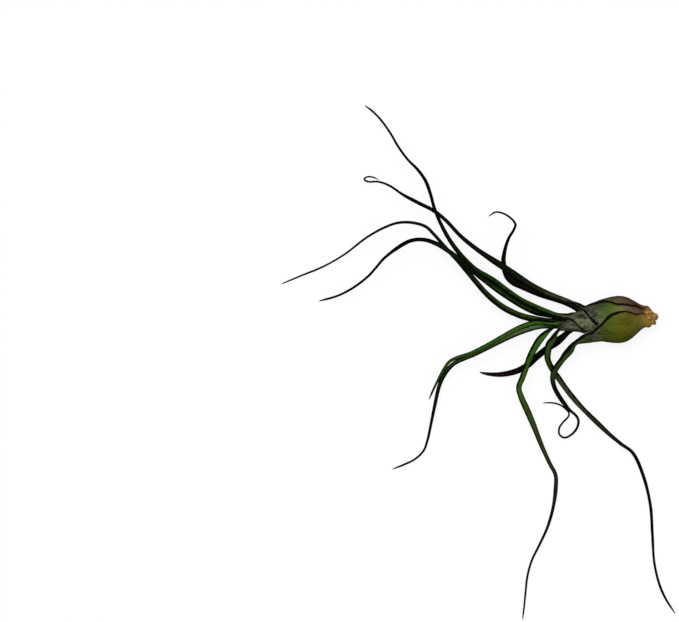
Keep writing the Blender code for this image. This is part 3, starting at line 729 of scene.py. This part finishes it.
tallArchLeaf = {
    "layer": 3, "facing": 35.0, "columns": 24, "seed": 5.0,
    "width": (
        (0.0, 4.0), (20.0, 3.6), (45.0, 3.3), (62.0, 2.9), (79.0, 2.35), (91.0, 2.0), (112.0, 1.85),
        (121.0, 1.45), (139.0, 1.3), (160.0, 1.1),
    ),
    "spread": (
        (2.2, 78), (29.0, 100), (31.6, 97), (33.2, 82), (34.6, 64), (36.0, 47), (37.6, 34), (39.0, 28),
    ),
    "route": (
        (-43.5, 0.8, 19.3), (-49.2, 2.6, 21.8), (-55.0, 5.1, 24.3), (-61.8, 8.4, 27.2), (-68.5, 12.8, 29.5),
        (-75.4, 18.0, 31.8), (-84.4, 23.4, 33.3), (-91.0, 29.6, 33.8), (-94.8, 34.2, 33.6),
        (-98.0, 38.8, 33.0), (-102.3, 46.7, 31.5), (-105.3, 54.0, 30.0), (-107.4, 61.5, 28.0),
        (-109.8, 68.0, 26.0), (-113.8, 73.7, 23.5), (-118.8, 78.8, 21.0), (-123.6, 85.5, 17.0),
        (-127.2, 91.8, 13.0), (-132.3, 99.0, 8.0), (-136.5, 103.3, 3.8), (-140.0, 106.0, 0.3),
    ),
    "colours": (
        dryFoot, (20.0, (0.07, 0.07, 0.035), 0.6), (30.0, (0.056, 0.062, 0.03), 0.9),
        (36.0, (0.05, 0.06, 0.028), 0.9), (42.0, (0.03, 0.055, 0.012), 0.5),
        (50.0, (0.014, 0.055, 0.004), 0.15), (70.0, (0.012, 0.042, 0.003), 0.0),
        (105.0, (0.004, 0.01, 0.001), 0.0), (125.0, deepGreenBlack, 0.0), blackTip,
    ),
    "margins": (
        dryFootMargin, (28.0, (0.005, 0.004, 0.003), 0.33), (37.0, warmBlack, 0.39),
        (41.0, greenBlack, 0.0), blackTip,
    ),
    "dark": ((24.0, 1.3), (30.0, 2.3)),
    "veins": 0.5, "mottling": 0.45,
}
makeLeaf("leaf_05", tallArchLeaf)

longTrailingLeaf = {
    "layer": 4, "facing": -60.0, "columns": 24, "seed": 6.0,
    "width": (
        (0.0, 4.8), (9.0, 4.2), (19.0, 3.35), (43.0, 3.0), (55.0, 2.75), (67.0, 2.4), (79.0, 1.95),
        (91.0, 2.0), (103.0, 1.8), (127.0, 1.55), (139.0, 1.3), (151.0, 1.4), (163.0, 1.15), (168.0, 0.9),
    ),
    "spread": ((3.7, 100), (36.0, 84), (39.0, 66), (41.5, 42), (43.0, 30)),
    "turn": (50.0, 12.0),
    "route": (
        (-45.6, -11.2, 15.6), (-47.9, -14.2, 14.4), (-48.6, -17.6, 12.6), (-48.6, -21.2, 10.4),
        (-47.6, -23.9, 8.7), (-45.5, -27.6, 6.7), (-43.4, -30.4, 5.9), (-39.8, -35.4, 5.2),
        (-35.2, -41.2, 5.2), (-29.9, -47.0, 5.8), (-22.9, -53.8, 6.6), (-18.0, -58.4, 6.6),
        (-12.0, -63.4, 6.0), (-6.0, -67.9, 5.0), (-0.8, -78.8, 2.8), (3.0, -94.0, 1.2), (4.1, -109.5, 0.9),
        (5.0, -123.0, 1.3), (7.4, -133.5, 1.4), (10.4, -140.6, 0.9), (15.5, -148.7, 0.4),
    ),
    "colours": (
        dryFoot, (20.0, (0.07, 0.07, 0.035), 0.6), (34.0, (0.05, 0.06, 0.028), 0.9),
        (40.0, (0.052, 0.05, 0.028), 0.7), (44.0, (0.06, 0.042, 0.028), 0.4),
        (49.0, (0.02, 0.05, 0.007), 0.2), (66.0, (0.016, 0.034, 0.006), 0.0),
        (80.0, (0.03, 0.036, 0.017), 0.0), (106.0, (0.012, 0.014, 0.007), 0.0),
        (124.0, deepGreenBlack, 0.0), blackTip,
    ),
    "margins": (
        dryFootMargin, (30.0, (0.005, 0.004, 0.003), 0.26), (41.0, warmBlack, 0.26),
        (45.0, greenBlack, 0.0), blackTip,
    ),
    "dark": ((40.0, 1.2), (52.0, 2.3)),
    "veins": 0.5, "mottling": 0.45,
}
makeLeaf("leaf_06", longTrailingLeaf)

middleStrandLeaf = {
    "layer": 5, "facing": 75.0, "columns": 22, "seed": 7.0,
    "width": (
        (0.0, 3.6), (30.0, 3.4), (60.0, 2.8), (79.0, 2.4), (91.0, 2.25), (103.0, 1.75), (115.0, 1.4),
        (139.0, 1.3), (146.0, 1.1),
    ),
    "spread": ((4.8, 61), (39.0, 59), (42.0, 44), (44.0, 33)),
    "turn": (-55.0, 20.0),
    "route": (
        (-49.5, 1.2, 15.4), (-55.0, 2.8, 17.6), (-61.8, 6.1, 20.5), (-68.5, 10.2, 23.2),
        (-75.4, 14.9, 25.3), (-82.6, 20.4, 27.2), (-89.0, 25.6, 27.9), (-93.5, 29.3, 28.0),
        (-98.4, 33.0, 27.8), (-104.3, 36.6, 26.9), (-110.5, 38.6, 25.5), (-116.6, 38.3, 23.5),
        (-121.8, 35.9, 21.2), (-130.3, 29.5, 17.0), (-134.1, 25.2, 14.8), (-137.9, 20.9, 12.5),
        (-142.7, 16.9, 10.0), (-148.0, 13.4, 7.5), (-154.0, 10.5, 5.3), (-163.0, 8.0, 2.5),
    ),
    "colours": (
        dryFoot, (30.0, sheathGrey, 0.7), (42.0, (0.03, 0.055, 0.012), 0.5),
        (48.0, (0.014, 0.055, 0.004), 0.15), (70.0, (0.012, 0.042, 0.003), 0.0),
        (105.0, (0.004, 0.01, 0.001), 0.0), (125.0, deepGreenBlack, 0.0), blackTip,
    ),
    "margins": (dryFootMargin, (30.0, greyBlack, 0.3), (44.0, (0.002, 0.004, 0.001), 0.0), blackTip),
    "dark": ((41.0, 1.0), (53.0, 2.2)),
    "veins": 0.45, "mottling": 0.4,
}
makeLeaf("leaf_07", middleStrandLeaf)

hangingGreenLeaf = {
    "layer": 6, "facing": -82.0, "columns": 22, "seed": 8.0,
    "width": (
        (0.0, 4.6), (10.0, 4.1), (31.0, 3.2), (43.0, 3.4), (55.0, 3.35), (67.0, 2.7), (79.0, 2.3),
        (91.0, 2.3), (103.0, 1.8), (115.0, 1.55), (127.0, 1.2), (145.0, 1.15), (160.0, 0.85),
    ),
    "spread": ((6.0, 69), (40.0, 66), (43.0, 54), (45.0, 44)),
    "turn": (70.0, 10.0),
    "route": (
        (-49.5, -8.6, 15.2), (-52.6, -11.6, 15.9), (-55.4, -16.0, 16.1), (-57.6, -20.5, 15.6),
        (-59.4, -25.5, 14.6), (-61.2, -30.4, 13.3), (-63.0, -35.4, 12.0), (-61.9, -39.8, 10.8),
        (-58.9, -46.5, 9.3), (-56.0, -53.2, 7.8), (-51.4, -64.7, 5.0), (-47.5, -73.2, 3.2),
        (-44.5, -79.2, 2.1), (-44.4, -86.0, 1.4), (-45.6, -95.0, 1.0), (-48.4, -105.0, 1.4),
        (-52.6, -114.2, 2.2), (-56.4, -122.0, 2.2), (-58.6, -130.0, 1.4), (-59.5, -138.0, 0.8),
        (-60.3, -146.0, 0.6), (-61.0, -151.7, 0.4),
    ),
    "colours": (
        dryFoot, (30.0, sheathGrey, 0.7), (44.0, (0.03, 0.07, 0.01), 0.4),
        (50.0, (0.026, 0.09, 0.006), 0.1), (64.0, (0.028, 0.075, 0.008), 0.0),
        (90.0, (0.032, 0.058, 0.008), 0.0), (112.0, (0.022, 0.032, 0.01), 0.0),
        (136.0, (0.012, 0.013, 0.008), 0.0), (152.0, deepGreenBlack, 0.0), blackTip,
    ),
    "margins": (dryFootMargin, (30.0, greyBlack, 0.3), (46.0, (0.002, 0.006, 0.001), 0.0), blackTip),
    "dark": ((42.0, 1.0), (54.0, 2.3)),
    "veins": 0.4, "mottling": 0.4,
}
makeLeaf("leaf_08", hangingGreenLeaf)

doubleStripeLeaf = {
    "layer": 5, "facing": -154.0, "columns": 22, "seed": 9.0,
    "width": (
        (0.0, 3.4), (14.0, 3.4), (30.0, 2.9), (50.0, 2.5), (65.0, 2.4), (79.0, 2.0), (91.0, 1.55),
        (103.0, 1.3), (122.0, 0.95),
    ),
    "spread": ((4.8, 61), (40.0, 59), (43.0, 46), (45.0, 36)),
    "route": (
        (-50.0, -4.6, 9.6), (-55.0, -5.2, 10.4), (-61.0, -7.0, 12.0), (-68.7, -10.3, 13.6),
        (-78.3, -15.2, 14.2), (-84.7, -18.4, 13.7), (-90.0, -20.7, 13.0), (-95.3, -23.2, 12.0),
        (-99.3, -27.3, 10.6), (-102.5, -33.6, 8.5), (-105.1, -44.5, 5.2), (-107.0, -54.0, 2.8),
        (-108.6, -61.5, 1.4), (-110.6, -67.0, 0.9), (-115.0, -71.3, 0.7), (-120.5, -74.0, 0.6),
        (-126.3, -76.3, 0.3),
    ),
    # its pale stretch from 50 to 72 mm, palest at 57 to 64 mm, is a painted highlight over the blade's own
    # olive green
    "colours": (
        dryFoot, (30.0, sheathGrey, 0.7), (44.0, (0.04, 0.08, 0.015), 0.4), (50.0, (0.07, 0.12, 0.03), 0.0),
        (57.0, (0.14, 0.2, 0.09), 0.0), (64.0, (0.13, 0.19, 0.08), 0.0), (72.0, (0.085, 0.13, 0.04), 0.0),
        (90.0, (0.06, 0.085, 0.02), 0.0), (110.0, (0.02, 0.042, 0.005), 0.0),
        (130.0, (0.003, 0.006, 0.001), 0.0), blackTip,
    ),
    "margins": (dryFootMargin, (30.0, greyBlack, 0.3), (46.0, (0.002, 0.006, 0.001), 0.0), blackTip),
    "dark": ((42.0, 0.9), (54.0, 1.4)),
    "veins": 0.4, "mottling": 0.4,
}
makeLeaf("leaf_09", doubleStripeLeaf)

lowStrandLeaf = {
    "layer": 6, "facing": 134.0, "columns": 22, "seed": 10.0,
    "width": (
        (0.0, 3.8), (30.0, 3.5), (43.0, 3.2), (60.0, 2.5), (79.0, 1.95), (91.0, 1.8), (103.0, 1.55),
        (115.0, 1.45), (127.0, 1.2), (150.0, 1.1), (168.0, 0.85),
    ),
    "spread": ((6.0, 65), (40.0, 62), (43.0, 54), (45.0, 44)),
    "turn": (-90.0, 12.0),
    "route": (
        (-50.0, -0.9, 11.3), (-56.5, -0.5, 11.2), (-61.8, 0.8, 11.9), (-66.4, 2.7, 13.0),
        (-70.9, 5.1, 14.4), (-75.4, 8.4, 16.0), (-79.9, 12.5, 17.6), (-84.4, 17.6, 19.0),
        (-89.0, 22.9, 20.2), (-93.5, 28.0, 20.9), (-98.4, 33.2, 21.1), (-105.7, 41.5, 20.3),
        (-109.7, 45.2, 19.5), (-116.5, 47.2, 18.2), (-123.5, 47.1, 16.2), (-130.0, 44.9, 14.0),
        (-139.0, 39.9, 10.5), (-150.5, 31.2, 6.0), (-161.3, 25.1, 2.4), (-172.5, 20.5, 0.8),
        (-182.0, 16.5, 0.3),
    ),
    "colours": (
        dryFoot, (30.0, sheathGrey, 0.7), (43.0, (0.03, 0.06, 0.012), 0.4),
        (50.0, (0.013, 0.062, 0.004), 0.1), (60.0, (0.02, 0.045, 0.006), 0.0),
        (85.0, (0.016, 0.028, 0.005), 0.0), (110.0, (0.003, 0.007, 0.001), 0.0), blackTip,
    ),
    "margins": (dryFootMargin, (30.0, greyBlack, 0.3), (46.0, (0.002, 0.004, 0.0015), 0.05), blackTip),
    "dark": ((42.0, 0.9), (54.0, 2.2)),
    "veins": 0.4, "mottling": 0.4,
}
makeLeaf("leaf_10", lowStrandLeaf)

heartLeaf = {
    "layer": 7, "facing": -10.0, "columns": 24, "seed": 11.0,
    "width": ((0.0, 3.1), (12.0, 2.8), (30.0, 2.3), (60.0, 1.7), (80.0, 1.0)),
    "spread": ((7.4, 84), (42.0, 78), (46.0, 58)),
    "route": (
        (-51.0, -2.9, 17.0), (-56.0, -3.0, 18.6), (-62.3, -5.0, 19.6), (-71.9, -10.0, 20.0),
        (-80.0, -14.6, 19.8), (-87.9, -18.3, 19.0), (-93.5, -20.1, 18.2), (-97.8, -22.3, 17.3),
        (-101.0, -26.8, 16.0), (-105.1, -34.8, 13.8), (-108.0, -41.2, 12.0),
    ),
    "colours": (
        dryFoot, (34.0, sheathGrey, 0.7), (45.0, (0.03, 0.075, 0.01), 0.4),
        (52.0, (0.026, 0.09, 0.006), 0.1), (80.0, (0.02, 0.06, 0.005), 0.0),
        (110.0, (0.02, 0.04, 0.006), 0.0), ("tip", (0.003, 0.005, 0.002), 0.0),
    ),
    "margins": (dryFootMargin, (34.0, greyBlack, 0.3), (48.0, (0.002, 0.006, 0.001), 0.0), blackTip),
    "dark": ((43.0, 0.9), (55.0, 2.3)),
    "veins": 0.4, "mottling": 0.4,
}
makeLeaf("leaf_11", heartLeaf)

rootBase = {
    # distance along the axis and radius of the short stem, from its hidden end to the face behind the bulb
    "profile": (
        (10.5, 0.4), (10.0, 0.9), (8.6, 1.7), (6.5, 2.4), (3.0, 2.6), (0.3, 2.8), (-0.1, 4.2), (-0.6, 5.0),
        (-1.2, 5.2), (-1.8, 5.15), (-2.3, 4.95), (-2.8, 4.5), (-3.3, 3.8), (-3.8, 2.9), (-4.2, 1.9),
        (-4.5, 1.0), (-4.6, 0.3),
    ),
    "sides": 64,
    "folds": ((0.04, 11, 1), (0.03, 17, 2)),  # depth as a share, number round the stem, and turn along it
    "lumps": (0.12, 1.6, 0.5),  # height as a share, and how fast they change round the stem and along it
    # each broken root: its radius, then points as distance behind the base, and place up and towards +Y
    "stubs": (
        (1.85, (2.2, 1.0, 0.1), (4.0, 1.1, -0.1), (4.9, 1.2, -0.2)),
        (1.4, (1.6, -2.6, 0.8), (3.2, -3.0, 0.7), (4.1, -3.9, 0.9)),
        (1.1, (2.0, 2.0, -1.8), (2.8, 2.4, -2.1), (3.3, 2.6, -2.3)),
        (1.0, (2.4, -0.8, -2.2), (4.0, -1.0, -2.9), (4.8, -1.8, -3.3)),
        (1.0, (1.8, 2.4, 1.8), (2.6, 2.7, 2.1), (3.0, 2.9, 2.2)),
    ),
    "stubSides": 28,
    "stubStep": 0.3,
    # a stub's rounded end: distance past its last point and width, as shares of its radius
    "stubEnd": ((0.35, 0.94), (0.62, 0.78), (0.82, 0.54), (0.92, 0.22)),
    "stubLumps": (0.16, 0.9),  # height as a share, and how fast they change
    "stubRibs": (0.05, 7),  # height as a share, and number round it
    "gold": (0.34, 0.18, 0.022),
    "brown": (0.09, 0.035, 0.008),
    "cream": (0.62, 0.45, 0.2),
    "patches": (500.0, 4.0, 0.6),  # noise scale, detail and roughness
    "fibres": (2200.0, 3.0, 0.6),
    "goldSpan": (0.35, 0.6),
    "creamSpan": (0.58, 0.75),
    "roughness": (0.3, 0.45),  # how much the fibres add, and the least
    "bump": (0.6, 0.3),
}


def extrudedTube(mesh, rings):
    # rings of points, each extruded from the last, with both ends closed
    ring = bmesh.ops.create_circle(mesh, cap_ends=False, segments=len(rings[0]), radius=1.0)["verts"]
    for vert, point in zip(ring, rings[0]):
        vert.co = point
    first = ring
    for points in rings[1:]:
        around = dict.fromkeys(edge for vert in ring for edge in vert.link_edges)
        edges = [edge for edge in around if set(edge.verts) <= set(ring)]
        made = bmesh.ops.extrude_edge_only(mesh, edges=edges)["geom"]
        new = {item for item in made if isinstance(item, bmesh.types.BMVert)}
        ring = [
            next(edge.other_vert(vert) for edge in vert.link_edges if edge.other_vert(vert) in new)
            for vert in ring
        ]
        for vert, point in zip(ring, points):
            vert.co = point
    for end in (first, ring):
        bmesh.ops.contextual_create(mesh, geom=end)


def stemRings():
    lumpHeight, roundPace, alongPace = rootBase["lumps"]
    rings = []
    for along, radius in rootBase["profile"]:
        ring = []
        for i in range(rootBase["sides"]):
            turn = 2 * math.pi * i / rootBase["sides"]
            direction = Vector((math.cos(turn), math.sin(turn), 0.0))
            folds = sum(depth * math.sin(turn * n + twist * along) for depth, n, twist in rootBase["folds"])
            lump = lumpHeight * noise.noise(direction * roundPace + Vector((0, 0, along * alongPace)))
            ring.append(direction * radius * (1 + folds + lump) + Vector((0, 0, along)))
        rings.append(ring)
    return rings


def stubRings(radius, points):
    line = smoothLine([Vector((up, side, -back)) for back, up, side in points], rootBase["stubStep"])
    sizes = [radius] * len(line)
    last = line[-1]
    heading = (last - line[-2]).normalized()
    for past, share in rootBase["stubEnd"]:
        line.append(last + heading * radius * past)
        sizes.append(radius * share)
    lumpHeight, lumpPace = rootBase["stubLumps"]
    ribHeight, ribs = rootBase["stubRibs"]
    across = (line[1] - line[0]).normalized().orthogonal().normalized()
    rings = []
    for i, here in enumerate(line):
        ahead = (line[min(i + 1, len(line) - 1)] - line[max(i - 1, 0)]).normalized()
        across = (across - ahead * across.dot(ahead)).normalized()
        up = ahead.cross(across)
        ring = []
        for k in range(rootBase["stubSides"]):
            turn = 2 * math.pi * k / rootBase["stubSides"]
            direction = across * math.cos(turn) + up * math.sin(turn)
            lump = lumpHeight * noise.noise((here + direction * radius) * lumpPace)
            ring.append(here + direction * sizes[i] * (1 + lump + ribHeight * math.sin(turn * ribs)))
        rings.append(ring)
    return rings


def makeRootBase():
    mesh = bmesh.new()
    extrudedTube(mesh, stemRings())
    for radius, *points in rootBase["stubs"]:
        extrudedTube(mesh, stubRings(radius, points))
    turn = bulb["axisAlong"].to_track_quat("Z", "X").to_matrix().to_4x4()
    place = Matrix.Translation((bulb["axisBase"] - bulb["plantCentre"]) * mm) @ turn @ Matrix.Scale(mm, 4)
    bmesh.ops.transform(mesh, matrix=place, verts=mesh.verts)
    stem = finishedPiece(mesh, "rootedStem")
    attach(stem, "root")
    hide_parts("stem")
    return stem


def rootBaseMaterial():
    material, tree, shader = newMaterial("dryRootBase")
    coords = nodeAt(tree, "ShaderNodeTexCoord", -1200, 0).outputs["Object"]
    patches = skinNoise(tree, -900, 200, coords, *rootBase["patches"])
    fibres = skinNoise(tree, -900, -50, coords, *rootBase["fibres"])
    golden = fade(tree, -700, 200, patches, rootBase["goldSpan"])
    creamy = fade(tree, -700, 0, fibres, rootBase["creamSpan"])
    colour = blendColours(tree, -500, 200, golden, rootBase["brown"], rootBase["gold"])
    colour = blendColours(tree, -300, 200, creamy, colour, rootBase["cream"])
    rough = mathNode(tree, "MULTIPLY_ADD", -300, 0, fibres, *rootBase["roughness"])
    fillInputs(tree, shader, {"Base Color": colour, "Roughness": rough})
    bumpInto(tree, shader, mathNode(tree, "ADD", -400, -200, patches, fibres), *rootBase["bump"])
    return material


makeRootBase().data.materials.append(rootBaseMaterial())

studio = {
    "photoCentre": (-69.57, 25.74),  # beneath the camera, from the frame's origin
    "photoWidth": 339.5,
    "photoLevel": 15.0,  # the height that the photo's width is measured at
    "cameraDistance": 6000.0,
    "sensorWidth": 36.0,
    "farthestView": 30.0,  # in metres, like the floor's radius
    "floorRadius": 9.0,
    "floorSides": 96,
    "floorRoughness": 0.9,
    "floorColour": (0.12, 0.12, 0.12),
    "floorGlow": 0.86,  # what the camera sees of it, which lights nothing
    "white": (1.0, 1.0, 1.0),
    "worldStrength": 0.14,
    "lamps": (
        # place in metres, size in metres and power in watts
        ((-0.2, 0.35, 1.5), 0.7, 19.0),
        ((0.3, -0.2, 1.4), 0.9, 9.0),
    ),
}


def layFloor():
    mesh = bmesh.new()
    bmesh.ops.create_circle(
        mesh, cap_ends=True, segments=studio["floorSides"], radius=studio["floorRadius"]
    )
    data = bpy.data.meshes.new("floor")
    mesh.to_mesh(data)
    mesh.free()
    floor = bpy.data.objects.new("floor", data)
    bpy.context.scene.collection.objects.link(floor)
    material, tree, shader = newMaterial("paleFloor")
    seen = nodeAt(tree, "ShaderNodeLightPath", -600, 0).outputs["Is Camera Ray"]
    fillInputs(tree, shader, {
        "Base Color": studio["floorColour"],
        "Roughness": studio["floorRoughness"],
        "Specular IOR Level": 0.0,
        "Emission Color": studio["white"],
        "Emission Strength": mathNode(tree, "MULTIPLY", -300, -200, seen, studio["floorGlow"]),
    })
    data.materials.append(material)


def lightRoom():
    world = bpy.data.worlds.new("paleRoom")
    bpy.context.scene.world = world
    world.use_nodes = True
    sky = world.node_tree.nodes["Background"]
    fillInputs(world.node_tree, sky, {"Color": studio["white"], "Strength": studio["worldStrength"]})


def hangLamps(target):
    for i, (place, size, power) in enumerate(studio["lamps"]):
        light = bpy.data.lights.new(f"softbox_{i}", "AREA")
        light.shape = "DISK"
        light.size = size
        light.energy = power
        lamp = bpy.data.objects.new(f"softbox_{i}", light)
        lamp.location = place
        lamp.rotation_euler = (target - Vector(place)).to_track_quat("-Z", "Y").to_euler()
        lamp.visible_camera = False
        bpy.context.scene.collection.objects.link(lamp)


def placeCamera(target):
    camera = bpy.data.cameras.new("photoCamera")
    camera.sensor_width = studio["sensorWidth"]
    camera.lens = studio["sensorWidth"] * studio["cameraDistance"] / studio["photoWidth"]
    camera.clip_end = studio["farthestView"]
    holder = bpy.data.objects.new("photoCamera", camera)
    holder.location = (target.x, target.y, (studio["cameraDistance"] + studio["photoLevel"]) * mm)
    bpy.context.scene.collection.objects.link(holder)
    bpy.context.scene.camera = holder
    bpy.context.scene.view_settings.view_transform = "Standard"


layFloor()
lightRoom()
photoMiddle = Vector((*studio["photoCentre"], 0.0)) * mm
hangLamps(photoMiddle)
placeCamera(photoMiddle)
print("studio ready")
